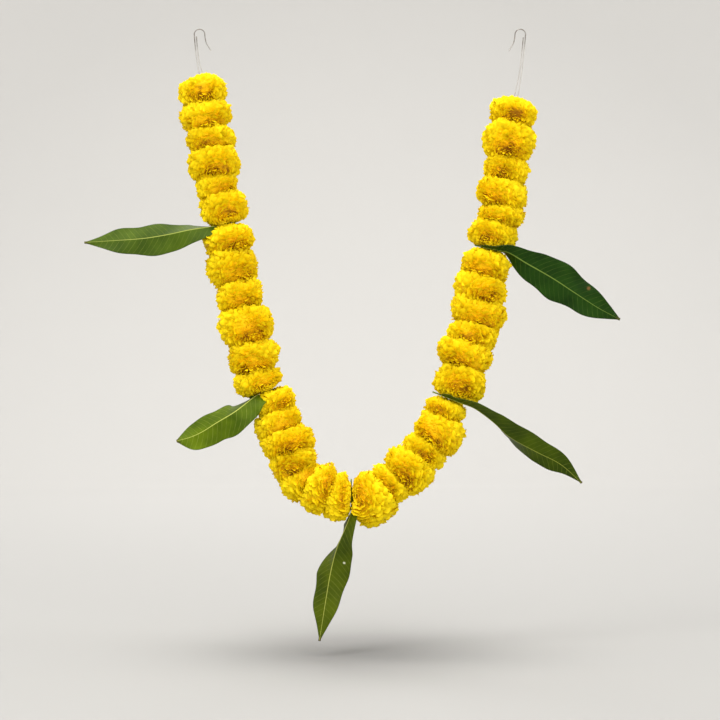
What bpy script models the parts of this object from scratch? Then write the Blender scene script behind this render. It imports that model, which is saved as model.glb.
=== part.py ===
"""A marigold garland that hangs by two wire hooks.

Thirty-seven marigold heads are threaded on one cotton string that hangs in a U, with five mango
leaves pierced and threaded between them.  Each end of the string is looped through the eye of a
wire hook and knotted.  The origin is the point under the left hook's crown where a nail carries
it, +X runs to the right hook, +Y away from the viewer and +Z up.
"""

import math
import random

import bmesh
import bpy
import numpy as np
from mathutils import Matrix, Vector

MM = 0.001
GAP = 0.3 * MM  # clearance between pieces that touch
SEED = 37
CURVE_STEPS = 24  # points that a smooth curve puts between two given ones

# The string's own route from the left end to the right one: x and z in millimetres
ROUTE_MM = (
    (2, -47), (9, -102), (18, -157), (27, -211), (37, -264), (49, -318), (61, -367), (79, -413),
    (92, -446), (110, -486), (138, -508), (170, -513), (201, -505), (236, -477), (264, -435),
    (286, -380), (303, -323), (314, -269), (326, -216), (336, -162), (343, -107), (349, -68),
)

# Each run of heads in threading order: diameter, thickness and inward shift in millimetres
HEAD_RUNS_MM = {
    "left_upper": ((54, 34, 0), (60, 28, 0), (57, 24, 0), (63, 30, 0), (50, 20, -1), (57, 33, 2)),
    "left_middle": ((61, 29, 1), (59, 34, 0), (56, 30, 1), (64, 38, 0), (61, 33, 1), (55, 23, -4)),
    "left_lower": (
        (49, 24, 5), (57, 21, 0), (62, 24, 1), (58, 24, 0), (52, 16, -4), (60, 27, 2), (58, 22, -2),
    ),
    "right_lower": ((66, 37, -3), (52, 16, 0), (61, 34, 0), (53, 19, 0), (63, 33, -3), (49, 21, 2)),
    "right_middle": ((62, 38, -3), (65, 25, 2), (62, 21, -1), (65, 28, -1), (64, 25, 1), (58, 31, 1)),
    "right_upper": ((56, 30, 2), (57, 17, -3), (59, 29, 1), (52, 25, 0), (62, 38, 1), (56, 32, 0)),
}
HEAD_GAP = 0.4 * MM  # between the faces of two heads
PETALS = 8  # in each layer of a head
NOTCH = 0.87  # radius between two petals, as a share of their tips'
TIP_SWAY = 0.045  # how far petal tips stray, as a share of the radius
TIP_SLIDE = 0.07  # how far they stray along the string, as a share of half the thickness
TIP_LEAN = math.radians(6)  # how far they stray round the string
NOTCH_SLIDE = 0.07  # how far the gap between two petals sits towards the face
CREASE_RIPPLE = 0.02  # unevenness of the creases between layers
FACE_LIMIT = 0.98  # no petal tip passes this share of half the thickness
END_DOME = 0.8  # the free back of an end head is rounder by this factor

# Rows of a head round its section: radius share, place from back (-1) to face (+1), petal layer
HEAD_ROWS = (
    (0.99, -0.16, 1), (0.82, -0.06, None), (0.97, 0.14, 2), (0.98, 0.40, 2), (0.79, 0.50, None),
    (0.80, 0.86, 3), (0.0, 1.0, "bore"), (0.0, -1.0, "bore"),
    (0.77, -0.90, 0), (0.80, -0.68, None), (0.95, -0.46, 1),
)

STRING_RADIUS = 0.75 * MM
BORE_RADIUS = 1.15 * MM  # where the needle drew the string through a head
END_BORE_RADIUS = 4.2 * MM  # mouth of the outermost heads, which takes the hook's eye
KNOT_DEPTH = 12.5 * MM  # below the outer face of an end head
KNOT_RADIUS = 1.6 * MM
EYE_DEPTH = 6.0 * MM
STRING_LOOP_MM = ((0, 11.6), (1.5, 10.4), (1.95, 8.6), (1.3, 7.0))  # half the end loop: y and depth
LOOP_TOP_MM = 6.5
LOOP_LAP_MM = (0.2, 11.9)  # where the loop closes, just past its start

WIRE_RADIUS = 0.5 * MM
CROWN_RADIUS = 5.8 * MM  # the wire's centre line over the nail
EYE_RADIUS = 2.2 * MM
HOOK_SPACING = 353.0 * MM
TAIL_MM = ((12.3, -22.8), (9.6, -18.4), (7.4, -14.2), (6.3, -9.6))  # from the tip up to the crown
STRAND_GAP = 2.3 * MM  # between the two strands of the shank
SHANK_BOW = 0.9 * MM
SHANK_SHARES = (0.05, 0.2, 0.35, 0.5, 0.65, 0.8, 0.92)  # of the way down from crown to eye
SPREAD_FROM = 0.6  # share of the shank from where its strands part round the eye
ARC_STEPS = 8  # in a half turn of wire
WIRE_ROUNDNESS = 2  # Blender's bevel resolution: 8 sides

LEAF_SLOT = 2.4 * MM  # room between two heads for a threaded leaf
BLADE_THICKNESS = 0.75 * MM
RIB_THICKNESS = 1.7 * MM
LEAF_SPANS = 20  # along the rib
HALF_SPANS = 2  # from the rib to one edge
EDGE_WAVE = 1.1 * MM
WAVE_TURNS = 23  # radians of the edge wave over the leaf's length
WAVE_FROM = 0.25  # share of the length past the string before the edge starts to wave
OUTLINE_RIPPLE = 0.035
STALK_HALF_WIDTH = 1.1 * MM
HOLE_DEPTH = 12 * MM
SLOT_REACH = 19.0 * MM  # how far from the string the leaf stays flat in its slot
BROADEST = 1.2  # above 1 the leaf is broadest past its middle

# Leaves in threading order.  heading: turn towards the viewer in the slot, in degrees;
# rib: free points of the midrib in millimetres (x, y, z); turns: share of the length, then
# each half's angle off the garland's plane in degrees.
LEAVES = {
    "leaf_left_upper": {
        "half_width": 20.5, "taper": 1.0, "petiole": 25, "heading": 38,
        "rib": ((-8, -15, -221), (-34, -9, -226), (-62, -4, -230), (-92, -1, -232), (-127, 2, -234)),
        "turns": ((0.24, 90, -90), (0.32, 76, -20), (0.46, 62, -10), (0.64, 40, -8), (1, 20, -16)),
    },
    "leaf_left_lower": {
        "half_width": 22, "taper": 0.75, "petiole": 22, "heading": 38,
        "rib": ((40, -14, -420), (20, -9, -432), (4, -6, -442), (-9, -5, -448), (-25, -4, -452.5)),
        "turns": ((0.28, 90, -90), (0.37, 82, -16), (0.54, 64, -4), (0.70, 46, -2), (1, 30, -10)),
    },
    "leaf_bottom": {
        "half_width": 20.5, "taper": 1.0, "petiole": 20, "heading": 6,
        "rib": (
            (161, -3, -547), (152, -2, -568), (145, -1, -594), (139, -2, -628), (132, -5, -672),
        ),
        "turns": (
            (0.22, 90, -90), (0.28, 125, -75), (0.35, 128, -46), (0.46, 92, -14), (0.62, 42, -8),
            (1, 18, -14),
        ),
    },
    "leaf_right_lower": {
        "half_width": 20, "taper": 1.0, "petiole": 17, "heading": 30,
        "rib": (
            (303, -14, -417), (322, -11, -431), (341, -8, -448), (370, -6, -464), (397, -6, -478),
            (420, -7, -498.5),
        ),
        "turns": (
            (0.21, 90, -90), (0.28, 96, -60), (0.38, 98, -48), (0.54, 90, -40), (0.70, 46, -30),
            (1, 22, -20),
        ),
    },
    "leaf_right_upper": {
        "half_width": 21, "taper": 0.9, "petiole": 17, "heading": 38,
        "rib": ((359, -15, -258), (388, -9, -274), (413, -6, -290), (438, -5, -306), (462, -6, -319)),
        "turns": ((0.23, 90, -90), (0.31, 56, -42), (0.43, 20, -10), (0.66, 12, -8), (1, 16, -16)),
    },
}

PETAL_YELLOW = (0.93, 0.62, 0.01)
PETAL_GOLD = (0.86, 0.44, 0.01)
LEAF_COLOURS = {
    "leaf_left_upper": (0.10, 0.19, 0.035),
    "leaf_left_lower": (0.13, 0.22, 0.04),
    "leaf_bottom": (0.12, 0.17, 0.02),
    "leaf_right_lower": (0.025, 0.075, 0.02),
    "leaf_right_upper": (0.025, 0.085, 0.025),
}
COTTON = (0.72, 0.66, 0.52)
STEEL = (0.50, 0.48, 0.45)


# ---------------------------------------------------------------- scene and small helpers

def clear_scene():
    for obj in list(bpy.data.objects):
        bpy.data.objects.remove(obj, do_unlink=True)


def make_collection(name, hidden=False):
    collection = bpy.data.collections.new(name)
    collection.hide_render = hidden
    bpy.context.scene.collection.children.link(collection)
    return collection


def make_material(name, colour, roughness, metallic=0.0):
    material = bpy.data.materials.new(name)
    material.use_nodes = True
    shader = material.node_tree.nodes["Principled BSDF"]
    shader.inputs["Base Color"].default_value = (*colour, 1.0)
    shader.inputs["Roughness"].default_value = roughness
    shader.inputs["Metallic"].default_value = metallic
    return material


def add_mesh_object(name, mesh, collection, material=None):
    obj = bpy.data.objects.new(name, mesh)
    collection.objects.link(obj)
    if material:
        mesh.materials.append(material)
    return obj


def move_to(obj, collection):
    for owner in list(obj.users_collection):
        owner.objects.unlink(obj)
    collection.objects.link(obj)


def smooth_curve(points):
    """Points along a Catmull-Rom curve through the given ones."""
    held = [2 * points[0] - points[1], *points, 2 * points[-1] - points[-2]]
    found = []
    for a, b, c, d in zip(held, held[1:], held[2:], held[3:]):
        for step in range(CURVE_STEPS):
            t = step / CURVE_STEPS
            found.append(
                0.5 * (2 * b + (c - a) * t + (2 * a - 5 * b + 4 * c - d) * t**2
                       + (3 * b - a - 3 * c + d) * t**3)
            )
    return np.array([*found, held[-2]])


class Path:
    """A smooth curve measured by its length."""

    def __init__(self, points):
        self.points = smooth_curve([np.array(p, float) for p in points])
        sides = np.linalg.norm(np.diff(self.points, axis=0), axis=1)
        self.reach = np.concatenate([[0.0], np.cumsum(sides)])
        self.length = self.reach[-1]

    def at(self, along):
        return Vector([float(np.interp(along, self.reach, column)) for column in self.points.T])

    def tangent(self, along, step=2.0 * MM):
        low = max(along - step, 0.0)
        high = min(along + step, self.length)
        return (self.at(high) - self.at(low)).normalized()


def frame_at(path, along):
    """The string's place there, its outward normal in the garland's plane, and its tangent."""
    tangent = path.tangent(along)
    outward = Vector((0, 1, 0)).cross(tangent)
    return path.at(along), outward, tangent


def tube(name, points, radius, collection):
    """A round wire or thread through the points, as a mesh with its ends closed."""
    curve = bpy.data.curves.new(name, "CURVE")
    curve.dimensions = "3D"
    curve.bevel_depth = radius
    curve.bevel_resolution = WIRE_ROUNDNESS
    curve.use_fill_caps = True
    spline = curve.splines.new("POLY")
    spline.points.add(len(points) - 1)
    for target, point in zip(spline.points, points):
        target.co = (*point, 1.0)
    guide = bpy.data.objects.new(name + "_guide", curve)
    collection.objects.link(guide)
    bpy.context.view_layer.update()
    evaluated = guide.evaluated_get(bpy.context.evaluated_depsgraph_get())
    mesh = bpy.data.meshes.new_from_object(evaluated)
    mesh.name = name
    bpy.data.objects.remove(guide)
    shape = bmesh.new()
    shape.from_mesh(mesh)
    bmesh.ops.remove_doubles(shape, verts=shape.verts, dist=1e-6)
    bmesh.ops.recalc_face_normals(shape, faces=shape.faces)
    shape.to_mesh(mesh)
    shape.free()
    obj = add_mesh_object(name, mesh, collection)
    mesh.shade_smooth()
    return obj


def apply_modifiers(obj):
    evaluated = obj.evaluated_get(bpy.context.evaluated_depsgraph_get())
    mesh = bpy.data.meshes.new_from_object(evaluated)
    obj.modifiers.clear()
    obj.data = mesh


# ---------------------------------------------------------------- marigold heads

def head_point(row, column, head, tips):
    """Place of one vertex of a head: radius and angle about the string, and share along it."""
    share, place, layer = HEAD_ROWS[row]
    angle = head["face"] * math.pi * column / PETALS  # turned round with the face
    if layer == "bore":
        return head["bore"][0 if place * head["face"] < 0 else 1], angle, place * head["face"]
    radius = share * head["radius"]
    if layer is None:
        radius *= 1.0 + CREASE_RIPPLE * math.sin(5 * angle + row)
        return radius, angle, place * head["face"]
    sway, tilt, lean = tips[layer][column]
    is_tip = (column + layer) % 2 == 0
    if is_tip:
        radius *= 1.0 + TIP_SWAY * sway
        place += TIP_SLIDE * tilt
        angle += TIP_LEAN * lean
    else:
        radius *= NOTCH
        place += NOTCH_SLIDE
    if layer == 0:
        radius *= head["dome"]
    return radius, angle, max(-FACE_LIMIT, min(FACE_LIMIT, place)) * head["face"]


def make_head(name, head, path, collection, material):
    """A ring of ruffled petals round the string, in layers, filling its own length of the string."""
    columns = 2 * PETALS  # a petal tip and the notch beside it
    bpy.ops.mesh.primitive_torus_add(
        major_segments=columns, minor_segments=len(HEAD_ROWS), major_radius=0.02, minor_radius=0.01
    )
    obj = bpy.context.active_object
    obj.name = name
    obj.data.name = name
    move_to(obj, collection)
    rng = random.Random(f"{SEED} {name}")
    tips = [[[rng.uniform(-1, 1) for _ in range(3)] for _ in range(columns)] for _ in range(4)]
    middle = 0.5 * (head["start"] + head["end"])
    half = 0.5 * (head["end"] - head["start"])
    for index, vertex in enumerate(obj.data.vertices):
        column, row = divmod(index, len(HEAD_ROWS))
        radius, angle, share = head_point(row, column, head, tips)
        centre, outward, _ = frame_at(path, middle + half * share)
        shift = -head["shift"] * outward if HEAD_ROWS[row][2] != "bore" else Vector((0, 0, 0))
        round_string = outward * math.cos(angle) + Vector((0, 1, 0)) * math.sin(angle)
        vertex.co = centre + shift + radius * round_string
    obj.data.materials.append(material)
    return obj


def lay_out_heads(path):
    """Every head's size and its own stretch of the string, and where each leaf is threaded."""
    heads = {}
    slots = []
    along = 0.0
    total = sum(len(run) for run in HEAD_RUNS_MM.values())
    for run, sizes in HEAD_RUNS_MM.items():
        face = 1 if run.startswith("left") else -1
        for place, (diameter, thickness, shift) in enumerate(sizes, 1):
            count = len(heads) + 1
            heads[f"marigold_{run}_{place}"] = {
                "radius": 0.5 * diameter * MM,
                "shift": shift * MM,
                "face": face,
                "dome": END_DOME if count in (1, total) else 1.0,
                "start": along + 0.5 * HEAD_GAP,
                "end": along + thickness * MM - 0.5 * HEAD_GAP,
                "bore": (
                    END_BORE_RADIUS if count == 1 else BORE_RADIUS,
                    END_BORE_RADIUS if count == total else BORE_RADIUS,
                ),
            }
            along += thickness * MM
        slots.append(along + 0.5 * LEAF_SLOT)
        along += LEAF_SLOT
    slots.pop()
    return heads, slots, along - LEAF_SLOT


def petal_material(name, rng):
    warmth = rng.uniform(0.0, 0.7)
    colour = [a + (b - a) * warmth for a, b in zip(PETAL_YELLOW, PETAL_GOLD)]
    return make_material(name + "_petals", colour, 0.62)


# ---------------------------------------------------------------- leaves

def blend_turns(turns, share):
    shares, first, second = zip(*turns)
    return float(np.interp(share, shares, first)), float(np.interp(share, shares, second))


def half_width(leaf, share):
    """A mango leaf's outline: slender stalk, broad middle, long pointed tip."""
    swell = math.sin(math.pi * min(share, 0.995) ** BROADEST)
    full = leaf["half_width"] * MM * swell ** leaf["taper"]
    ripple = 1.0 + OUTLINE_RIPPLE * math.sin(31 * share + leaf["half_width"])
    return max(full * ripple, STALK_HALF_WIDTH)


def leaf_rib(leaf, path, along):
    """The midrib: stalk end, straight through the string in its slot, then its free points."""
    pierced, outward, _ = frame_at(path, along)
    heading = math.radians(leaf["heading"])
    way = outward * math.cos(heading) - Vector((0, 1, 0)) * math.sin(heading)
    reaches = (-leaf["petiole"] * MM, 0.0, 0.5 * SLOT_REACH, SLOT_REACH)
    slot = [pierced + way * reach for reach in reaches]
    return Path([*slot, *(Vector(point) * MM for point in leaf["rib"])])


def leaf_point(leaf, rib, share, across, pierced_share):
    """A point of the leaf's middle surface, across from -1 at one edge to 1 at the other."""
    along = share * rib.length
    tangent = rib.tangent(along)
    side = Vector((0, 1, 0)).cross(tangent).normalized()
    depth = tangent.cross(side)
    turned = blend_turns(leaf["turns"], share)[0 if across > 0 else 1]
    direction = side * math.cos(math.radians(turned)) * (1 if across > 0 else -1)
    direction += depth * math.sin(math.radians(turned))
    normal = direction.cross(tangent).normalized()
    free = min(max((share - pierced_share) / WAVE_FROM - 1.0, 0.0), 1.0)
    wave = EDGE_WAVE * free * across**2 * math.sin(WAVE_TURNS * share + 2.2 * across)
    return rib.at(along) + direction * abs(across) * half_width(leaf, share) + normal * wave


def make_leaf(name, leaf, path, along, collection, cutters):
    """A thin waved blade, thicker along its rib, pierced where the string runs through it."""
    rib = leaf_rib(leaf, path, along)
    pierced_share = leaf["petiole"] * MM / rib.length
    shape = bmesh.new()
    bmesh.ops.create_grid(shape, x_segments=LEAF_SPANS, y_segments=2 * HALF_SPANS, size=1.0)
    bmesh.ops.triangulate(shape, faces=shape.faces)
    mesh = bpy.data.meshes.new(name)
    on_rib = [abs(vertex.co.y) < 1e-4 for vertex in shape.verts]
    for vertex in shape.verts:
        vertex.co = leaf_point(leaf, rib, 0.5 * (vertex.co.x + 1), vertex.co.y, pierced_share)
    shape.to_mesh(mesh)
    shape.free()
    obj = add_mesh_object(name, mesh, collection, make_material(name, LEAF_COLOURS[name], 0.42))
    group = obj.vertex_groups.new(name="rib")
    group.add([index for index, found in enumerate(on_rib) if found], 1.0, "REPLACE")
    wall = obj.modifiers.new("blade", "SOLIDIFY")
    wall.thickness = RIB_THICKNESS
    wall.thickness_vertex_group = BLADE_THICKNESS / RIB_THICKNESS
    wall.vertex_group = group.name
    wall.offset = 0.0
    hole = obj.modifiers.new("string hole", "BOOLEAN")
    hole.operation = "DIFFERENCE"
    hole.solver = "EXACT"
    hole.object = string_cutter(name, path, along, cutters)
    return obj


def string_cutter(name, path, along, cutters):
    """A short rod along the string, a clearance wider than it."""
    centre, _, tangent = frame_at(path, along)
    bpy.ops.mesh.primitive_cylinder_add(vertices=10, radius=STRING_RADIUS + GAP, depth=HOLE_DEPTH)
    rod = bpy.context.active_object
    rod.name = name + "_hole"
    rod.matrix_world = Matrix.Translation(centre) @ tangent.to_track_quat("Z", "Y").to_matrix().to_4x4()
    move_to(rod, cutters)
    rod.hide_render = True
    rod.display_type = "WIRE"
    return rod


# ---------------------------------------------------------------- string and hooks

def end_frame(path, total, at_start):
    """Places inside an end head: a function of the depth below its outer face and the offset in Y."""
    def place(depth, offset):
        along = depth if at_start else total - depth
        return path.at(along) + Vector((0, offset, 0))
    return place


def string_pieces(path, total, knots, cutters):
    """The threaded run, and at each end a loop through the hook's eye and the knot that shuts it."""
    first = KNOT_DEPTH
    last = total - KNOT_DEPTH
    points = [path.at(first)]
    points += [path.at(along) for along in knots if first < along < last]
    points.append(path.at(last))
    pieces = [tube("string_run", points, STRING_RADIUS, cutters)]
    for at_start in (True, False):
        place = end_frame(path, total, at_start)
        half = [(offset * MM, depth * MM) for offset, depth in STRING_LOOP_MM]
        loop = [place(depth, -offset) for offset, depth in half]
        loop.append(place(LOOP_TOP_MM * MM, 0.0))
        loop += [place(depth, offset) for offset, depth in reversed(half[1:])]
        loop.append(place(LOOP_LAP_MM[1] * MM, LOOP_LAP_MM[0] * MM))
        pieces.append(tube("string_loop", loop, STRING_RADIUS, cutters))
        bpy.ops.mesh.primitive_ico_sphere_add(subdivisions=2, radius=KNOT_RADIUS)
        knot = bpy.context.active_object
        knot.location = place(KNOT_DEPTH, 0.0)
        move_to(knot, cutters)
        pieces.append(knot)
    return pieces


def make_string(path, total, knots, collection, cutters):
    """The pieces of the string joined into one by a Boolean union."""
    pieces = string_pieces(path, total, knots, cutters)
    first = pieces[0]
    joined = bpy.data.collections.new("string_pieces")
    bpy.context.scene.collection.children.link(joined)
    for piece in pieces[1:]:
        move_to(piece, joined)
    union = first.modifiers.new("join", "BOOLEAN")
    union.operation = "UNION"
    union.solver = "EXACT"
    union.operand_type = "COLLECTION"
    union.collection = joined
    bpy.context.view_layer.update()
    apply_modifiers(first)
    for piece in pieces[1:]:
        bpy.data.objects.remove(piece, do_unlink=True)
    bpy.data.collections.remove(joined)
    first.name = "garland_string"
    move_to(first, collection)
    first.data.materials.clear()
    first.data.materials.append(make_material("cotton_string", COTTON, 0.9))
    return first


def shank_strands(foot, eye, side):
    """The two strands between crown and eye, from the top down: the carrying one and the return."""
    carrying = []
    returning = []
    for share in SHANK_SHARES:
        bow = SHANK_BOW * math.sin(math.pi * share)
        place = foot.lerp(eye - Vector((side * EYE_RADIUS, 0, 0)), share)
        place -= Vector((side * bow, 0, 0))
        parted = max(0.0, (share - SPREAD_FROM) / (1.0 - SPREAD_FROM))
        spread = STRAND_GAP + (2 * EYE_RADIUS - STRAND_GAP) * parted
        carrying.append(place)
        returning.append(place + Vector((side * spread, 0, 0)))
    return carrying, returning


def half_turn(centre, radius, side, start):
    """Points round half a circle of wire, from the given angle on."""
    turns = [start + math.pi * step / ARC_STEPS for step in range(ARC_STEPS + 1)]
    return [centre + radius * Vector((side * math.cos(turn), 0, math.sin(turn))) for turn in turns]


def make_hook(name, crown_x, eye, side, collection):
    """One bent wire: tail, crown over the nail, shank, eye at the foot and a strand back up."""
    centre = Vector((crown_x, 0, WIRE_RADIUS - CROWN_RADIUS))
    points = [Vector((crown_x + side * x * MM, 0, z * MM)) for x, z in TAIL_MM]
    points += half_turn(centre, CROWN_RADIUS, side, 0.0)
    carrying, returning = shank_strands(points[-1], eye, side)
    points += carrying + half_turn(eye, EYE_RADIUS, side, math.pi) + returning[::-1]
    obj = tube(name, points, WIRE_RADIUS, collection)
    obj.data.materials.append(make_material(name + "_wire", STEEL, 0.35, 0.9))
    return obj


def main():
    clear_scene()
    garland = make_collection("marigold_garland")
    cutters = make_collection("cutters", hidden=True)
    path = Path([Vector((x, 0, z)) * MM for x, z in ROUTE_MM])
    heads, slots, total = lay_out_heads(path)
    print(f"string route {path.length / MM:.1f} mm, heads and leaves fill {total / MM:.1f} mm")
    rng = random.Random(SEED)
    for name, head in heads.items():
        make_head(name, head, path, garland, petal_material(name, rng))
    for (name, leaf), along in zip(LEAVES.items(), slots):
        make_leaf(name, leaf, path, along, garland, cutters)
    knots = sorted([head["end"] + 0.5 * HEAD_GAP for head in heads.values()] + slots)
    make_string(path, total, knots, garland, cutters)
    make_hook("left_hook", 0.0, path.at(EYE_DEPTH), 1, garland)
    make_hook("right_hook", HOOK_SPACING, path.at(total - EYE_DEPTH), -1, garland)


main()
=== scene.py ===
import math
from functools import partialmethod
import bmesh
import bpy
import numpy as np
from mathutils import Matrix, Vector


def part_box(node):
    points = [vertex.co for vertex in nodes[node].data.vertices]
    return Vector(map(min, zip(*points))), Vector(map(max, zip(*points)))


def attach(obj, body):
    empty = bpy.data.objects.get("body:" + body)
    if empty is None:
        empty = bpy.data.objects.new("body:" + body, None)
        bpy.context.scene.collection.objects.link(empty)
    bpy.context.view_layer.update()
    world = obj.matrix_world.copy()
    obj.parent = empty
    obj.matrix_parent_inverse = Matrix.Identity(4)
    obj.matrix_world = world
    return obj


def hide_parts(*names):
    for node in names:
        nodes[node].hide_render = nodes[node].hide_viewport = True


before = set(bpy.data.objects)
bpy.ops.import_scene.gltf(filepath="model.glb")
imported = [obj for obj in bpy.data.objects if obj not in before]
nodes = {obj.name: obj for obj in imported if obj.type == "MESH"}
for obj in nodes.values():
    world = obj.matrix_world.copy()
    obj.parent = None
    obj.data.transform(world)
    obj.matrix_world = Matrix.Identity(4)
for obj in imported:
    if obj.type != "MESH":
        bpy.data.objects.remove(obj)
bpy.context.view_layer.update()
mm = 0.001
depthAxis = np.array((0.0, 1.0, 0.0))  # from the front to the back
middleX = 0.5 * (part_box("left_hook")[0][0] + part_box("right_hook")[1][0])  # between the two hooks


class Field:  # a value in a node tree that can be reckoned with like a number
    def __init__(self, tree, socket):
        self.tree = tree
        self.socket = socket

    def math(self, operation, *others):
        node = self.tree.nodes.new("ShaderNodeMath")
        node.operation = operation
        for place, value in enumerate((self, *others)):
            feed(self.tree, value, node.inputs[place])
        return Field(self.tree, node.outputs[0])

    def __neg__(self):
        return self * -1.0

    def upTo(self, high):  # held between 0 and high
        return self.most(0.0).least(high)

    def vector(self, operation, other=None, scale=None):
        node = self.tree.nodes.new("ShaderNodeVectorMath")
        node.operation = operation
        feed(self.tree, self, node.inputs[0])
        if other is not None:
            feed(self.tree, other, node.inputs[1])
        if scale is not None:
            feed(self.tree, scale, node.inputs["Scale"])
        return Field(self.tree, node.outputs[0])

    def scaled(self, factor):
        return self.vector("SCALE", scale=factor)

    def dot(self, other):
        node = self.vector("DOT_PRODUCT", other).socket.node
        return Field(self.tree, node.outputs["Value"])


for name, operation in {  # how each operation is written, and the node's name for it
    "__add__": "ADD", "__sub__": "SUBTRACT", "__mul__": "MULTIPLY", "__truediv__": "DIVIDE",
    "__pow__": "POWER", "sin": "SINE", "cos": "COSINE", "abs": "ABSOLUTE", "sign": "SIGN",
    "root": "SQRT", "least": "MINIMUM", "most": "MAXIMUM",
}.items():
    setattr(Field, name, partialmethod(Field.math, operation))
for name, operation in {
    "plus": "ADD", "minus": "SUBTRACT", "cross": "CROSS_PRODUCT", "unit": "NORMALIZE",
}.items():
    setattr(Field, name, partialmethod(Field.vector, operation))


def feed(tree, value, socket):
    if isinstance(value, Field):
        tree.links.new(value.socket, socket)
    else:
        socket.default_value = value


def addNode(tree, kind, settings=None, **inputs):
    node = tree.nodes.new(kind)
    for name, value in (settings or {}).items():
        setattr(node, name, value)
    for name, value in inputs.items():
        wanted = name.replace("_", " ")
        socket = next(s for s in node.inputs if s.name == wanted and s.enabled)
        feed(tree, value, socket)
    return node


def outputOf(tree, node, name=None):
    socket = next(s for s in node.outputs if s.enabled and (name is None or s.name == name))
    return Field(tree, socket)


def made(tree, kind, settings=None, **inputs):  # the first output of a new node
    return outputOf(tree, addNode(tree, kind, settings, **inputs))


def joinOf(tree, *parts):
    node = addNode(tree, "GeometryNodeJoinGeometry")
    for part in parts:
        tree.links.new(part.socket, node.inputs[0])
    return outputOf(tree, node)


def vectorOf(tree, x, y, z):
    return made(tree, "ShaderNodeCombineXYZ", X=x, Y=y, Z=z)


def splitOf(tree, vector):
    parts = addNode(tree, "ShaderNodeSeparateXYZ", Vector=vector)
    return [outputOf(tree, parts, letter) for letter in "XYZ"]


def noiseOf(tree, vector, scale, detail=2.0):
    return made(tree, "ShaderNodeTexNoise", Vector=vector, Scale=scale, Detail=detail)


def keep(tree, geometry, name, value, kind="FLOAT"):
    return made(tree, "GeometryNodeStoreNamedAttribute", {"data_type": kind, "domain": "POINT"},
                Geometry=geometry, Name=name, Value=value)


def kept(tree, name, kind="FLOAT"):
    return made(tree, "GeometryNodeInputNamedAttribute", {"data_type": kind}, Name=name)


def newTree(name, inputs):
    tree = bpy.data.node_groups.new(name, "GeometryNodeTree")
    tree.interface.new_socket("Geometry", in_out="OUTPUT", socket_type="NodeSocketGeometry")
    for label, kind in inputs.items():
        tree.interface.new_socket(label, in_out="INPUT", socket_type="NodeSocket" + kind)
    entry = tree.nodes.new("NodeGroupInput")
    return tree, {label: Field(tree, entry.outputs[label]) for label in inputs}


def runTree(name, tree, values):
    # an empty mesh carries the modifier; its result becomes a plain mesh
    host = bpy.data.objects.new(name + "Host", bpy.data.meshes.new(name + "Host"))
    bpy.context.scene.collection.objects.link(host)
    modifier = host.modifiers.new("shape", "NODES")
    modifier.node_group = tree
    for item in tree.interface.items_tree:
        if item.in_out == "INPUT" and item.name in values:
            modifier[item.identifier] = values[item.name]
    bpy.context.view_layer.update()
    evaluated = host.evaluated_get(bpy.context.evaluated_depsgraph_get())
    mesh = bpy.data.meshes.new_from_object(evaluated)
    bpy.data.objects.remove(host)
    mesh.name = name
    return mesh


def placeObject(name, data):
    obj = bpy.data.objects.new(name, data)
    bpy.context.scene.collection.objects.link(obj)
    return obj


def standFor(obj, node):
    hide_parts(node)
    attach(obj, "root")


headMeasures = {
    "boreWithin": 9.5 * mm,  # corners nearer the axis than this belong to the bore
    "outermost": 16,  # corners that the radius is averaged from
}


def measureHead(name):
    # the bore's two end rings give the axis; the petals round them give the size
    mesh = nodes[name].data
    flat = np.empty(len(mesh.vertices) * 3)
    mesh.vertices.foreach_get("co", flat)
    spots = np.unique(flat.reshape(-1, 3).round(6), axis=0)
    middle = spots.mean(axis=0)
    axis = np.linalg.svd(spots - middle)[2][2]
    away = (spots - middle) - np.outer((spots - middle) @ axis, axis)
    isBore = np.linalg.norm(away, axis=1) < headMeasures["boreWithin"]
    rings = []
    for side in (-1, 1):
        ring = spots[isBore & (((spots - middle) @ axis) * side > 0)]
        centre = ring.mean(axis=0)
        normal = np.linalg.svd(ring - centre)[2][2]
        rings.append((centre, normal * np.sign(normal @ axis)))
    towardsMiddle = abs(rings[1][0][0] - middleX) < abs(rings[0][0][0] - middleX)
    if not towardsMiddle:
        rings = [(centre, -normal) for centre, normal in rings[::-1]]
    (back, backWay), (face, faceWay) = rings
    along = (face - back) / np.linalg.norm(face - back)
    across = np.cross(depthAxis, along)
    outer = spots[~isBore]
    centre = 0.5 * (back + face)
    shift = float(((outer - centre) @ across).mean())
    radii = np.hypot((outer - centre) @ across - shift, outer[:, 1] - centre[1])
    return {
        "back": back, "face": face, "backWay": backWay, "faceWay": faceWay, "shift": shift,
        "radius": float(np.sort(radii)[-headMeasures["outermost"]:].mean()),
        "half": 0.5 * float(np.linalg.norm(face - back)),
    }


def bendOntoString(points, head):
    # carries a head built upright about Z onto its own bent stretch of the string
    reach = 2 * head["half"]
    share = 0.5 + points[:, 2] / reach
    t = np.clip(share, 0.0, 1.0)[:, None]
    start, end = head["back"], head["face"]
    startWay, endWay = head["backWay"] * reach, head["faceWay"] * reach
    spine = (start * (2 * t**3 - 3 * t**2 + 1) + startWay * (t**3 - 2 * t**2 + t)
             + end * (3 * t**2 - 2 * t**3) + endWay * (t**3 - t**2))
    way = head["backWay"] * (1 - t) + head["faceWay"] * t
    way /= np.linalg.norm(way, axis=1)[:, None]
    spine += way * ((share[:, None] - t) * reach)  # straight on past either end
    across = np.cross(depthAxis, way)
    return spine + across * (points[:, :1] + head["shift"]) + depthAxis * points[:, 1:2]


headNames = [name for name in nodes if name.startswith("marigold_")]
heads = {name: measureHead(name) for name in headNames}


def headMiddle(name):
    return 0.5 * (heads[name]["back"] + heads[name]["face"])


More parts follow.
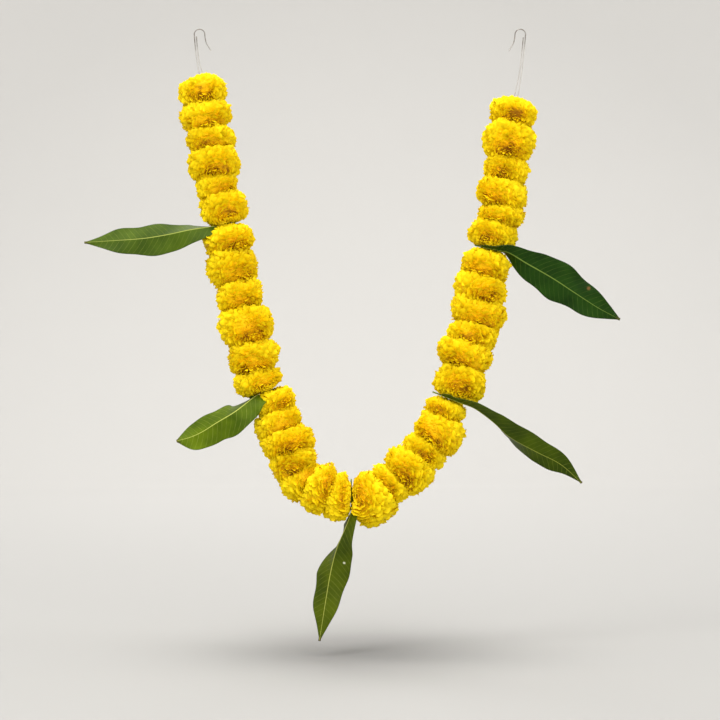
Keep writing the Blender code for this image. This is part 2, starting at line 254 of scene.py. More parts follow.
def endTowards(name, other):
    # the end of one head that looks at another
    return min(("face", "back"), key=lambda end: np.linalg.norm(heads[name][end] - headMiddle(other)))


rising = sorted(headNames, key=lambda name: headMiddle(name)[2])  # from the bottom up
leftHeads, rightHeads = ([name for name in rising if side in name] for side in ("left", "right"))
endHeads = [leftHeads[-1], rightHeads[-1]]  # the two that the hooks go into
print("heads measured:", len(heads), "the two ends are", *endHeads)


# Lengths and places are in mm, and angles in degrees.
# inSlot: the midrib between the two heads, as (away from the string, back) from the string.
# rib: the midrib outside the heads, as x, y, z.
# turns: share of the length, then how far the back half and the front half are folded.
# headSwell: how far the two heads grow towards the leaf, as a share of their half height.
# baseWidth: half width that the front half keeps at the string.
# blemish: along the leaf, across it, radius.
leafValues = {
    "leaf_left_upper": {
        "between": ("marigold_left_upper_6", "marigold_left_middle_1"), "slot": "mango_leaf_fresh",
        "halfWidth": 20.5, "taper": 1.0, "petiole": 25, "blunt": 0.0, "ripple": 0.045, "headSwell": 1.14,
        "baseWidth": 1, "inSlot": ((-17.4, 18), (0, 0), (6.6, -6.8), (13.2, -13.7)),
        "rib": ((-8, -18, -221), (-34, -10, -226), (-62, -4, -230), (-92, -1, -232), (-127, 2, -234)),
        "turns": ((0.14, 90, -60), (0.25, 82, -42), (0.32, 74, -16), (0.46, 62, -10), (0.64, 40, -8),
                  (1, 20, -16)),
        "green": (0.070, 0.117, 0.005), "dark": (0.030, 0.060, 0.002), "vein": (0.36, 0.40, 0.08),
        "roughness": 0.50,
    },
    "leaf_left_lower": {
        "between": ("marigold_left_middle_6", "marigold_left_lower_1"), "slot": "mango_leaf_fresh",
        "halfWidth": 22, "taper": 0.75, "petiole": 22, "blunt": 0.35, "ripple": 0.012, "headSwell": 1.14,
        "baseWidth": 1, "inSlot": ((-14.7, 16.3), (0, 0), (6.4, -7.1), (12.7, -14.1)),
        "rib": ((40, -21, -420), (20, -15, -432), (4, -9, -442), (-9, -5, -448), (-25, -4, -452.5)),
        "turns": ((0.15, 90, -56), (0.29, 86, -34), (0.37, 80, -14), (0.54, 64, -4), (0.70, 46, -2),
                  (1, 30, -10)),
        "green": (0.122, 0.184, 0.003), "dark": (0.048, 0.088, 0.001), "vein": (0.60, 0.64, 0.14),
        "roughness": 0.50,
    },
    "leaf_bottom": {
        "between": ("marigold_left_lower_7", "marigold_right_lower_1"), "slot": "mango_leaf_olive",
        "halfWidth": 20.5, "taper": 1.0, "petiole": 20, "blunt": 0.0, "ripple": 0.04, "headSwell": 1.14,
        "baseWidth": 1, "inSlot": ((-18, 8.8), (0, 0), (8.5, -4.2), (17.1, -8.3)),
        "rib": ((161, -10, -547), (152, -6, -568), (145, -2, -594), (139, -2, -628), (132, -5, -672)),
        "turns": ((0.12, 90, -58), (0.22, 84, -52), (0.30, 78, -44), (0.37, 92, -34), (0.46, 88, -14),
                  (0.62, 42, -8), (1, 18, -14)),
        "green": (0.084, 0.116, 0.001), "dark": (0.036, 0.058, 0.001), "vein": (0.48, 0.50, 0.10),
        "roughness": 0.48, "blemish": (96.0, -12.5, 1.1), "blemishColour": (0.62, 0.62, 0.45),
    },
    "leaf_right_lower": {
        "between": ("marigold_right_lower_6", "marigold_right_middle_1"), "slot": "mango_leaf_dark",
        "halfWidth": 20, "taper": 1.0, "petiole": 22, "blunt": 0.0, "ripple": 0.07, "headSwell": 1.10,
        "baseWidth": 7.5, "inSlot": ((-21.5, -8), (-10, -16), (3, -19.5), (14, -20.5)),
        "rib": ((303, -21, -417), (322, -15, -431), (341, -9, -448), (370, -6, -464), (397, -6, -478),
                (420, -7, -498.5)),
        "turns": ((0.13, 90, -60), (0.21, 94, -60), (0.30, 97, -50), (0.38, 98, -44), (0.54, 88, -36),
                  (0.70, 46, -30), (1, 22, -20)),
        "green": (0.063, 0.100, 0.001), "dark": (0.024, 0.045, 0.001), "vein": (0.40, 0.44, 0.07),
        "roughness": 0.46,
    },
    "leaf_right_upper": {
        "between": ("marigold_right_middle_6", "marigold_right_upper_1"), "slot": "mango_leaf_dark",
        "halfWidth": 21, "taper": 0.9, "petiole": 18, "blunt": 0.1, "ripple": 0.05, "headSwell": 1.08,
        "baseWidth": 6, "inSlot": ((-18, -9), (-5, -17), (8, -20), (20, -21)),
        "rib": ((359, -20, -258), (388, -11, -274), (413, -6, -290), (438, -5, -306), (462, -6, -319)),
        "turns": ((0.10, 90, -66), (0.18, 84, -54), (0.28, 46, -32), (0.40, 20, -12), (0.66, 12, -8),
                  (1, 16, -16)),
        "green": (0.018, 0.062, 0.003), "dark": (0.006, 0.027, 0.001), "vein": (0.20, 0.30, 0.05),
        "roughness": 0.44, "blemish": (137.0, -12.5, 1.6), "blemishColour": (0.16, 0.085, 0.025),
    },
}
petalValues = {
    "petals": 455,  # grown on each head before those that its neighbours press away are left out
    "petalLength": 11.5 * mm,
    "petalWidth": 10.3 * mm,
    "petalSize": (0.8, 1.15),  # each petal's own share of that length and width
    "petalGrid": (9, 3),  # corners across and along a petal
    "claw": 0.26,  # width of a petal's root, as a share of its fan
    "fan": 1.4,  # half the spread of the fan, in radians
    "notch": 0.03,  # how deep the fan's edge is cut
    "smallest": 0.46,  # size of the florets in the middle of the face
    "goldenTurn": 2.39996,  # from one petal to the next, in radians
    "crowding": 1.15,  # above 1, petals stand closer towards the middle of the face
    "lumps": 0.34,  # how uneven the head's outline is
    "lumpScale": 1.5,
    "stray": (0.94, 1.01),  # how unevenly the tips reach that outline
    "turnStray": 0.07,  # and how unevenly they stand, lean and roll, in radians
    "tiltStray": 0.22,
    "rollStray": 0.35,
    "waves": (2.8, 4.9),  # ruffles across a petal, from its middle to its side, in radians
    "ruffle": 1.4 * mm,
    "cup": 0.9,  # bend of its sides, as a share of the ruffle
    "thickness": 0.4 * mm,
    "squareness": 2.3,  # 2 is a ball, more is a pressed cushion
    "endSquareness": 2.0,
    "swell": (5.5 * mm, 9.5 * mm),  # how far a head's rims grow into the heads that it is pressed to
    "endSwell": 0.83,  # share of the half height that the first and last head keep at their free end
    "endClear": 2.5 * mm,  # bare place round the string there
    "hidden": 5.0 * mm,  # petals further inside the next head than this are left out
    "lean": 8.0,  # how far a head may lean from square to the string, in degrees
    "leafLean": 2.0,
    "trim": 0.955,  # petal tips stray, so their ball is this much smaller than the head
    "pressed": 0.36,  # share of the radius inside which two pressed heads have no petals
    "faceTilt": 4.0,  # lean of the petals away from the middle of the face, in degrees, there
    "backTilt": 78.0,  # and at the back
    "curl": (30.0, 66.0),  # bend from root to tip, at the face and at the back
    "faceTurn": (32.0, 58.0),  # how far the face looks out to the front, in degrees
    "faceAside": 0.7,  # and at most to either side, in radians
    "endTurn": 56.0,
    "crease": 1.3,  # edges bent more than this stay sharp, in radians
    "coreGrid": (28, 14),
    "coreShare": 0.86,
    "coreWobble": 0.25,
    "seed": 11,
}
petalGuides = ("tip", "tipWay", "rootWay", "side", "facing")  # vectors that only the petal's making needs
petalNotes = ("phase", "grow", "waves", "out", "clear", "high")  # and numbers


def either(height, face, back):  # the face half and the back half of a head may differ
    return (height.sign() + 1.0) * 0.5 * (-back + face) + back


def petalPlaces(tree, given, values):
    # where each petal's tip comes: a spiral from the middle of the face over a pressed ball
    petals, radius, pole = given["Petals"], given["Radius"], given["Pole"]
    number = made(tree, "GeometryNodeInputIndex")

    def chance(low, high, salt):
        return made(tree, "FunctionNodeRandomValue", {"data_type": "FLOAT"},
                    Min=low, Max=high, ID=number, Seed=given["Seed"] * 17.0 + float(salt))

    share = (number + 0.5) / petals
    cosine = (share ** values["crowding"]) * -2.0 + 1.0
    sine = (-(cosine * cosine) + 1.0).most(0.0).root()
    turn = number * values["goldenTurn"] + chance(-values["turnStray"], values["turnStray"], 1)
    first = pole.cross(vectorOf(tree, 1.0, 0.0, 0.0)).unit()
    second = pole.cross(first)
    way = first.scaled(turn.cos() * sine).plus(second.scaled(turn.sin() * sine))
    way = way.plus(pole.scaled(cosine))
    wayX, wayY, wayZ = splitOf(tree, way)
    out = (wayX * wayX + wayY * wayY).root().most(1e-4)
    half = either(wayZ, given["Face Half"], given["Back Half"])
    power = either(wayZ, values["squareness"], given["Back Squareness"])
    reach = ((out / radius) ** power + (wayZ.abs() / half) ** power) ** -(power ** -1.0)
    leanOut = (out * reach / radius) ** (power - 1.0) / radius / out
    leanUp = wayZ.sign() * (wayZ.abs() * reach / half) ** (power - 1.0) / half
    normal = vectorOf(tree, wayX * leanOut, wayY * leanOut, leanUp).unit()
    lump = made(tree, "ShaderNodeTexNoise", {"noise_dimensions": "4D"}, Scale=values["lumpScale"],
                Detail=0.0, Vector=way, W=given["Seed"] * 3.7)
    reach = reach * ((lump - 0.5) * values["lumps"] + 1.0)
    tip = way.scaled(reach * chance(*values["stray"], 2))
    side = pole.cross(normal).unit()
    backward = side.cross(normal)
    faceTilt, faceCurl = math.radians(values["faceTilt"]), math.radians(values["curl"][0])
    moreTilt = math.radians(values["backTilt"] - values["faceTilt"])
    moreCurl = math.radians(values["curl"][1] - values["curl"][0])
    tilt = share ** 0.6 * moreTilt + faceTilt + chance(-values["tiltStray"], values["tiltStray"], 3)
    before = tilt - (share * moreCurl + faceCurl)
    tipWay = normal.scaled(tilt.cos()).plus(backward.scaled(tilt.sin()))
    rootWay = normal.scaled(before.cos()).plus(backward.scaled(before.sin()))
    facing = tipWay.cross(side)
    roll = chance(-values["rollStray"], values["rollStray"], 4)
    side = side.scaled(roll.cos()).plus(facing.scaled(roll.sin()))

    points = made(tree, "GeometryNodePoints", Count=petals)
    for name, value in zip(petalGuides, (tip, tipWay, rootWay, side, facing)):
        points = keep(tree, points, name, value, "FLOAT_VECTOR")
    numbers = (chance(0.0, 6.28, 5), chance(*values["petalSize"], 6), chance(*values["waves"], 8),
               out * reach, either(wayZ, given["Face Clear"], given["Back Clear"]), wayZ.abs() * reach)
    for name, value in zip(petalNotes, numbers):
        points = keep(tree, points, name, value)
    points = keep(tree, points, "petalTint", chance(0.0, 1.0, 7))
    points = keep(tree, points, "fromFace", share)
    isPressed = (kept(tree, "clear") - kept(tree, "out")).most(kept(tree, "high") - given["Deepest"])
    return made(tree, "GeometryNodeDeleteGeometry", {"domain": "POINT"},
                Geometry=points, Selection=isPressed.math("GREATER_THAN", 0.0))


def petalForms(tree, given, values, points):
    # one flat petal: across from -1 to 1, along from 0 to 1
    columns, rows = values["petalGrid"]
    grid = made(tree, "GeometryNodeMeshGrid", Size_X=2.0, Size_Y=1.0, Vertices_X=columns, Vertices_Y=rows)
    gridX, gridY, _ = splitOf(tree, made(tree, "GeometryNodeInputPosition"))
    grid = keep(tree, grid, "across", gridX)
    grid = keep(tree, grid, "along", (gridY + 0.5) ** 0.6)
    flat = made(tree, "GeometryNodeInstanceOnPoints", Points=points, Instance=grid)
    flat = made(tree, "GeometryNodeRealizeInstances", Geometry=flat)

    # the petal's own form: a claw that opens into a round, ruffled fan
    across, along = kept(tree, "across"), kept(tree, "along")
    phase, waves = kept(tree, "phase"), kept(tree, "waves")
    tip, tipWay, rootWay, side, facing = (kept(tree, name, "FLOAT_VECTOR") for name in petalGuides)
    smallest = values["smallest"]
    size = kept(tree, "grow") * ((kept(tree, "fromFace") * 3.6).least(1.0) * (1.0 - smallest) + smallest)
    length = given["Length"] * size
    fan = across * values["fan"]
    notch = (across * waves * 1.2 + phase * 2.0).sin() * values["notch"] + 1.0
    left = -(along * (fan.cos() * 0.42 + 0.58) * notch) + 1.0  # share of the length still to go to the tip
    bend = rootWay.minus(tipWay).scaled(left * left * length * 0.5)
    spot = tip.minus(tipWay.scaled(left * length).plus(bend))
    sideways = across * (0.5 * values["claw"]) * (-along + 1.0) + fan.sin() * 0.5 * along
    spot = spot.plus(side.scaled(sideways * size * given["Width"]))
    ripple = (across * waves + phase).sin() * (along ** 1.6)
    cup = across * across * along * (phase * 3.0).cos() * values["cup"]
    spot = spot.plus(facing.scaled((ripple + cup) * given["Ruffle"] * size))
    sheet = made(tree, "GeometryNodeSetPosition", Geometry=flat, Position=spot)

    # a second side that meets the first along the petal's edge closes it
    plump = (-(across * across) + 1.0) * along * (-along + 1.0) * 4.0
    under = made(tree, "GeometryNodeSetPosition", Geometry=sheet,
                 Offset=facing.scaled(plump * given["Thickness"] * -1.0))
    under = made(tree, "GeometryNodeFlipFaces", Mesh=under)
    return made(tree, "GeometryNodeMergeByDistance", Geometry=joinOf(tree, sheet, under), Distance=1e-6)


def headCore(tree, given, values):
    # the core that the petals grow from
    segments, rings = values["coreGrid"]
    radius = given["Radius"]
    ball = made(tree, "GeometryNodeMeshUVSphere", Segments=segments, Rings=rings, Radius=1.0)
    at = made(tree, "GeometryNodeInputPosition")
    x, y, z = splitOf(tree, at)
    half = either(z, given["Face Half"], given["Back Half"])
    power = either(z, values["squareness"], given["Back Squareness"])
    outward = (x * x + y * y).root().most(0.001)
    swell = (outward ** power + z.abs() ** power) ** -(power ** -1.0)
    wobble = noiseOf(tree, at, 3.0) - 0.5
    swell = swell * (wobble * values["coreWobble"] + 1.0)
    core = vectorOf(tree, *(part * swell * extent * values["coreShare"]
                            for part, extent in ((x, radius), (y, radius), (z, half))))
    ball = keep(tree, ball, "along", 0.25)
    ball = keep(tree, ball, "petalTint", 0.5)
    ball = keep(tree, ball, "fromFace", (at.dot(given["Pole"]) * -0.5 + 0.5).most(0.0))
    return made(tree, "GeometryNodeSetPosition", Geometry=ball, Position=core)


def petalTree(values):
    tree, given = newTree("petalHead", {
        "Petals": "Int", "Pole": "Vector", "Radius": "Float", "Face Half": "Float", "Back Half": "Float",
        "Back Squareness": "Float", "Face Clear": "Float", "Back Clear": "Float", "Length": "Float",
        "Width": "Float", "Ruffle": "Float", "Thickness": "Float", "Deepest": "Float", "Seed": "Int",
        "Material": "Material",
    })
    points = petalPlaces(tree, given, values)
    head = joinOf(tree, petalForms(tree, given, values, points), headCore(tree, given, values))
    head = made(tree, "GeometryNodeSetShadeSmooth", Geometry=head)
    bend = made(tree, "GeometryNodeInputMeshEdgeAngle")
    head = made(tree, "GeometryNodeSetShadeSmooth", {"domain": "EDGE"}, Geometry=head,
                Selection=bend.math("GREATER_THAN", values["crease"]), Shade_Smooth=False)
    head = made(tree, "GeometryNodeRealizeInstances", Geometry=head)
    head = made(tree, "GeometryNodeSetMaterial", Geometry=head, Material=given["Material"])
    feed(tree, head, tree.nodes.new("NodeGroupOutput").inputs["Geometry"])
    return tree


def shadeGroup(name, inputs, outputs):
    tree = bpy.data.node_groups.new(name, "ShaderNodeTree")
    for label, (kind, value) in inputs.items():
        socket = tree.interface.new_socket(label, in_out="INPUT", socket_type="NodeSocket" + kind)
        socket.default_value = value
    for label, kind in outputs.items():
        tree.interface.new_socket(label, in_out="OUTPUT", socket_type="NodeSocket" + kind)
    entry, leave = tree.nodes.new("NodeGroupInput"), tree.nodes.new("NodeGroupOutput")
    return tree, {label: Field(tree, entry.outputs[label]) for label in inputs}, leave


def newMaterial(name, **sockets):  # a finish, with fixed values on the shader's own sockets
    material = bpy.data.materials.new(name)
    material.use_nodes = True
    shader = material.node_tree.nodes["Principled BSDF"]
    for label, value in sockets.items():
        shader.inputs[label.replace("_", " ")].default_value = value
    return material, material.node_tree, shader


def attribute(tree, name):
    return outputOf(tree, addNode(tree, "ShaderNodeAttribute", {"attribute_name": name}), "Fac")


def mixColours(tree, share, first, second):
    first, second = (one if isinstance(one, Field) else (*one, 1.0) for one in (first, second))
    return made(tree, "ShaderNodeMix", {"data_type": "RGBA"}, Factor=share, A=first, B=second)


def rampOf(tree, value, stops):
    node = tree.nodes.new("ShaderNodeValToRGB")
    ramp = node.color_ramp
    while len(ramp.elements) < len(stops):
        ramp.elements.new(0.5)
    for element, (place, colour) in zip(ramp.elements, stops):
        element.position = place
        element.color = (*colour, 1.0)
    feed(tree, value, node.inputs[0])
    return Field(tree, node.outputs[0])


def objectSpot(tree):
    return outputOf(tree, addNode(tree, "ShaderNodeTexCoord"), "Object")


def addBump(tree, shader, height, strength, distance, invert=False):
    bump = made(tree, "ShaderNodeBump", {"invert": invert}, Height=height, Strength=strength,
                Distance=distance)
    feed(tree, bump, shader.inputs["Normal"])


petalPaint = {
    "roughness": 0.6, "specular": 0.08,
    "fromRoot": ((0.0, (0.28, 0.10, 0.003)), (0.14, (0.76, 0.40, 0.001)), (0.34, (0.88, 0.57, 0.002)),
                 (0.66, (0.92, 0.67, 0.003)), (1.0, (0.93, 0.70, 0.004))),  # a petal's colours, root to tip; the dark brown at the root is painted shade deep between the petals
    "mottleScale": 420.0, "mottle": 0.25,  # how unevenly they follow each other
    "paintedRootShadeScale": 110.0, "paintedRootShade": 0.4,  # painted shade: patches of the face take the darker root colours, as shaded petal roots
    "lemon": (0.93, 0.73, 0.006), "amber": (0.91, 0.54, 0.001),
    "driftScale": 14.0, "drift": 0.35, "driftMost": 0.3,  # some petals drift to lemon or amber
    "paintedShadeGreen": (0.80, 0.64, 0.002), "greenFrom": 0.7, "greenMost": 0.3,  # painted shade: greenish yellow towards the head's back, as on shaded rims
    "ribRate": 46.0, "ribScale": 260.0, "skinScale": 900.0,  # fine lengthwise ribs in the petal's skin
    "bump": 0.25, "bumpDepth": 0.12 * mm,
}


def petalMaterial(paint):
    material, tree, shader = newMaterial("marigoldPetals", Roughness=paint["roughness"],
                                         Specular_IOR_Level=paint["specular"])
    along, tint, fromFace = (attribute(tree, label) for label in ("along", "petalTint", "fromFace"))
    spot = objectSpot(tree)
    # painted shade: on the face, patches reach down to the dark root colours
    paintedRootShade = (noiseOf(tree, spot, paint["paintedRootShadeScale"]) * 3.0 - 0.9).upTo(1.0)
    paintedRootShade = (fromFace * -5.0 + 1.0).most(0.0) * paintedRootShade
    mottle = (noiseOf(tree, spot, paint["mottleScale"]) - 0.5) * paint["mottle"]
    colour = rampOf(tree, along - paintedRootShade * paint["paintedRootShade"] + mottle, paint["fromRoot"])
    warmth = noiseOf(tree, spot, paint["driftScale"]) * 1.5 - 0.45
    warm = mixColours(tree, warmth, paint["lemon"], paint["amber"])
    drift = (tint * paint["drift"]).least(paint["driftMost"]) * along.most(0.0)
    colour = mixColours(tree, drift, colour, warm)
    # painted shade: the back petals turn greenish yellow
    outer = ((fromFace - paint["greenFrom"]) * 2.0).upTo(paint["greenMost"])
    colour = mixColours(tree, outer * (tint * 0.7 + 0.3), colour, paint["paintedShadeGreen"])
    feed(tree, colour, shader.inputs["Base Color"])
    ribs = attribute(tree, "across") * paint["ribRate"] + noiseOf(tree, spot, paint["ribScale"]) * 5.0
    addBump(tree, shader, ribs.sin() + noiseOf(tree, spot, paint["skinScale"]), paint["bump"],
            paint["bumpDepth"])
    return material


def makeHead(name, head, tree, material, number):
    values = petalValues
    rng = np.random.default_rng(values["seed"] + number)
    isEnd = name in endHeads
    radius = head["radius"] * values["trim"]
    faceHalf, backHalf = head["half"] + rng.uniform(*values["swell"], 2)
    backClear, backSquareness = radius * values["pressed"], values["squareness"]
    if isEnd:
        backHalf = head["half"] * values["endSwell"]
        backClear, backSquareness = values["endClear"], values["endSquareness"]
    # beside a leaf the rim stays on its own side
    leaf = next((one for one in leafValues.values() if name in one["between"]), None)
    if leaf:
        other = next(one for one in leaf["between"] if one != name)
        if endTowards(name, other) == "face":
            faceHalf = head["half"] * leaf["headSwell"]
        else:
            backHalf = head["half"] * leaf["headSwell"]
    turn = math.radians(values["endTurn"] if isEnd else rng.uniform(*values["faceTurn"]))
    aside = rng.uniform(-values["faceAside"], values["faceAside"])
    pole = (math.sin(turn) * math.sin(aside), -math.sin(turn) * math.cos(aside), math.cos(turn))
    mesh = runTree("petals_" + name, tree, {
        "Petals": values["petals"], "Pole": pole, "Radius": radius, "Face Half": faceHalf,
        "Back Half": backHalf, "Back Squareness": backSquareness, "Face Clear": radius * values["pressed"],
        "Back Clear": backClear, "Length": values["petalLength"], "Width": values["petalWidth"],
        "Ruffle": values["ruffle"], "Thickness": values["thickness"],
        "Deepest": head["half"] + values["hidden"], "Seed": values["seed"] + number, "Material": material,
    })
    flat = np.empty(len(mesh.vertices) * 3)
    mesh.vertices.foreach_get("co", flat)
    lean = np.radians(rng.uniform(-1, 1, 2) * (values["leafLean"] if leaf or isEnd else values["lean"]))
    leaning = Matrix.Rotation(lean[0], 3, "X") @ Matrix.Rotation(lean[1], 3, "Y")
    upright = flat.reshape(-1, 3) @ np.array(leaning).T
    mesh.vertices.foreach_set("co", bendOntoString(upright, head).ravel())
    for extra in petalGuides + petalNotes:
        found = mesh.attributes.get(extra)
        if found:
            mesh.attributes.remove(found)
    mesh.update()
    standFor(placeObject("petals_" + name, mesh), name)
    return len(mesh.polygons)


headTree = petalTree(petalValues)
petalFinish = petalMaterial(petalPaint)
faceCount = sum(makeHead(name, head, headTree, petalFinish, number)
                for number, (name, head) in enumerate(heads.items()))
print("heads ready, faces:", faceCount)


def smoothCurve(points, steps):
    # a Catmull-Rom curve through the points
    given = np.array(points, float)
    held = np.vstack([2 * given[0] - given[1], given, 2 * given[-1] - given[-2]])
    t = (np.arange(steps) / steps)[:, None]
    spans = [0.5 * (2 * b + (c - a) * t + (2 * a - 5 * b + 4 * c - d) * t**2
                    + (3 * b - a - 3 * c + d) * t**3)
             for a, b, c, d in zip(held, held[1:], held[2:], held[3:])]
    return np.vstack([*spans, held[-2:-1]])


def reachAlong(points):
    return np.concatenate([[0.0], np.cumsum(np.linalg.norm(np.diff(points, axis=0), axis=1))])


def evenCurve(points, count):
    # the same curve at evenly spaced places, with its tangents and its length
    reach = reachAlong(points)
    at = np.linspace(0.0, reach[-1], count)
    spots = np.stack([np.interp(at, reach, column) for column in points.T], axis=1)
    ways = np.gradient(spots, axis=0)
    return spots, ways / np.linalg.norm(ways, axis=1)[:, None], reach[-1]


def gridFaces(rows, columns, start=0, closed=False, flip=False):
    faces = []
    for row in range(rows - 1):
        for column in range(columns if closed else columns - 1):
            a = start + row * columns + column
            b = start + row * columns + (column + 1) % columns
            face = (a, b, b + columns, a + columns)
            faces.append(face[::-1] if flip else face)
    return faces


def meshFrom(name, points, faces, materials, attributes=None, slots=None):
    mesh = bpy.data.meshes.new(name)
    mesh.from_pydata([tuple(point) for point in points], [], faces)
    for material in materials:
        mesh.materials.append(material)
    for label, values in (attributes or {}).items():
        layer = mesh.attributes.new(label, "FLOAT", "POINT")
        layer.data.foreach_set("value", np.asarray(values, dtype=np.float32))
    if slots is not None:
        mesh.polygons.foreach_set("material_index", slots)
    mesh.shade_smooth()
    mesh.update()
    return mesh


def tubeParts(spots, ways, radius, sides, start=0):
    # rings carried along the curve without twist, the ends domed and closed
    side = np.cross(np.cross(ways[0], depthAxis), ways[0])
    sideways = []
    for way in ways:
        side = side - way * (side @ way)
        side = side / np.linalg.norm(side)
        sideways.append(side)
    sideways = np.array(sideways)
    third = np.cross(ways, sideways)
    turns = 2 * math.pi * np.arange(sides) / sides
    domes = [(0.97, 0.3), (0.75, 0.72), (0.35, 0.95)]  # share of the radius, and how far past the end
    centres = [spots[0] - ways[0] * radius * past for _, past in domes[::-1]]
    centres += list(spots) + [spots[-1] + ways[-1] * radius * past for _, past in domes]
    sizes = [share for share, _ in domes[::-1]] + [1.0] * len(spots) + [share for share, _ in domes]
    one, two = (np.vstack([[lines[0]] * len(domes), lines, [lines[-1]] * len(domes)])
                for lines in (sideways, third))
    centres, sizes = np.array(centres), np.array(sizes)
    rings = (centres[:, None] + radius * sizes[:, None, None]
             * (one[:, None] * np.cos(turns)[:, None] + two[:, None] * np.sin(turns)[:, None]))
    points = rings.reshape(-1, 3)
    rows = len(centres)
    faces = gridFaces(rows, sides, start, closed=True)
    tips = [spots[0] - ways[0] * radius, spots[-1] + ways[-1] * radius]
    points = np.vstack([points, tips])
    first, last = start + rows * sides, start + rows * sides + 1
    for column in range(sides):
        after = (column + 1) % sides
        faces.append((first, start + after, start + column))
        top = start + (rows - 1) * sides
        faces.append((last, top + column, top + after))
    lengthwise = reachAlong(centres)
    along = np.append(np.repeat(lengthwise, sides), [0.0, lengthwise[-1]])
    around = np.append(np.tile(turns, rows), [0.0, 0.0])
    return points, faces, along, around


def mouthPlace(name, depth):
    # a place on the string that lies this deep in the upper mouth of an end head, and its way down
    head = heads[name]
    return head["back"] + head["backWay"] * depth, head["backWay"]


stringValues = {
    "radius": 0.75 * mm, "sides": 10, "step": 1.4 * mm, "fineStep": 0.4 * mm,
    "knotDepth": 12.5 * mm, "knotRadius": 0.95 * mm, "knotPoints": 24, "knotBulge": 0.45, "knotHeight": 0.9,
    # the loop through a hook's eye, as (back, depth) in mm: half of it, its top, and its tied end
    "loop": ((0, 11.6), (1.5, 10.4), (1.95, 8.6), (1.3, 7.0)), "loopTop": (0, 6.5), "loopEnd": (0.2, 11.9),
    "twistPitch": 4.5 * mm, "strands": 3.0,
    # the second colour is painted shade for the grooves between the twisted strands
    "cotton": (0.60, 0.53, 0.40), "paintedShade": (0.30, 0.25, 0.17), "fluff": (0.74, 0.69, 0.58),
    "roughness": 0.92, "bump": 0.7, "bumpDepth": 0.25 * mm,
}


def makeKnot(name, values):
    # a trefoil round the string's own line
    centre, way = mouthPlace(name, values["knotDepth"])
    side = np.cross(depthAxis, way)
    knot = []
    for turn in np.linspace(0.0, 2 * math.pi, values["knotPoints"] + 1)[:-1]:
        reach = values["knotRadius"] * (1.0 + values["knotBulge"] * math.cos(3 * turn))
        knot.append(centre + reach * (math.cos(2 * turn) * side + math.sin(2 * turn) * depthAxis)
                    + way * values["knotRadius"] * values["knotHeight"] * math.sin(3 * turn))
    return knot + knot[:1]


def makeString(values, material):
    # down the left run and up the right one
    order = leftHeads[::-1] + rightHeads
    run = [mouthPlace(order[0], values["knotDepth"])[0]]
    for one, two in zip(order, order[1:]):
        run.append(0.5 * (heads[one][endTowards(one, two)] + heads[two][endTowards(two, one)]))
    run.append(mouthPlace(order[-1], values["knotDepth"])[0])
    routes = [(run, 24, values["step"])]  # points, steps between two of them, spacing of the rings
    half = values["loop"]
    around = [(-back, depth) for back, depth in half] + [values["loopTop"], *half[:0:-1], values["loopEnd"]]
    for name in endHeads:
        loop = [mouthPlace(name, depth * mm)[0] + depthAxis * (back * mm) for back, depth in around]
        routes += [(loop, 6, values["fineStep"]), (makeKnot(name, values), 4, values["fineStep"])]
    points, faces, along, turns = [], [], [], []
    for route, steps, step in routes:
        curve = smoothCurve(route, steps)
        spots, ways, _ = evenCurve(curve, int(reachAlong(curve)[-1] / step))
        tube = tubeParts(spots, ways, values["radius"], values["sides"], sum(len(part) for part in points))
        for store, part in zip((points, faces, along, turns), tube):
            store.append(part)
    turns = np.concatenate(turns)
    mesh = meshFrom("twistedString", np.vstack(points), sum(faces, []), [material],
                    {"stringAlong": np.concatenate(along), "stringCosine": np.cos(turns),
                     "stringSine": np.sin(turns)})
    standFor(placeObject("twistedString", mesh), "garland_string")


def cottonMaterial(values):
    material, tree, shader = newMaterial("twistedCotton", Roughness=values["roughness"],
                                         Specular_IOR_Level=0.15)
    along = attribute(tree, "stringAlong")
    around = attribute(tree, "stringSine").math("ARCTAN2", attribute(tree, "stringCosine"))
    twist = (around * values["strands"] - along * (2 * math.pi / values["twistPitch"])).sin()
    fibre = noiseOf(tree, vectorOf(tree, along * 900.0, around * 2.0, twist), 3.0, 4.0)
    # painted shade: the grooves between the strands are painted darker
    groove = (twist * 0.5 + 0.5) ** 0.5
    colour = mixColours(tree, groove, values["paintedShade"], values["cotton"])
    colour = mixColours(tree, (fibre * 2.2 - 0.9).upTo(0.8), colour, values["fluff"])
    feed(tree, colour, shader.inputs["Base Color"])
    addBump(tree, shader, groove + fibre * 0.3, values["bump"], values["bumpDepth"])
    return material


makeString(stringValues, cottonMaterial(stringValues))
print("string ready")


leafForm = {
    "rows": 97, "columns": 29, "blade": 0.5 * mm, "ribThickness": 1.7 * mm, "ribWidth": 1.1 * mm,
    "crowding": 0.35,  # how much closer the columns stand at the edges
    "widest": 1.2,  # above 1, the widest place moves towards the tip
    "bluntAt": 0.9, "bluntSpan": 0.08,
    "edgeWobble": 0.03, "wobbleRate": 31, "edgeRipples": ((23, 1.3), (19, 4.1)),  # back half, front half
    "ribEnd": 0.15,  # share of the midrib's thickness that is left at the tip
    "stalk": 1.1 * mm,  # least half width
    "pierceSpan": 9.0 * mm, "pastString": 4.0 * mm,  # the back half there goes on this far past the string
    "stiffShare": 0.25,  # the base stays smooth over this share of the length
    "edgeWave": 1.1 * mm, "edgeRate": 23, "edgeLag": 2.2,  # the blade's edge rises and falls
    "quilting": 0.28 * mm,  # rise of the blade between two side veins
    "above": 0.35,  # share of the thickness over the middle sheet, so that the midrib stands out below
    "veinSpacing": 6.4 * mm, "veinSlant": 0.55, "veinBow": 0.012,
}


def veinPhase(along, across, form):
    # side veins leave the midrib at a slant and bow towards the tip; takes arrays or node values
    bow = across * across * (form["veinBow"] / mm)
    return (along - across * form["veinSlant"] - bow) / form["veinSpacing"]


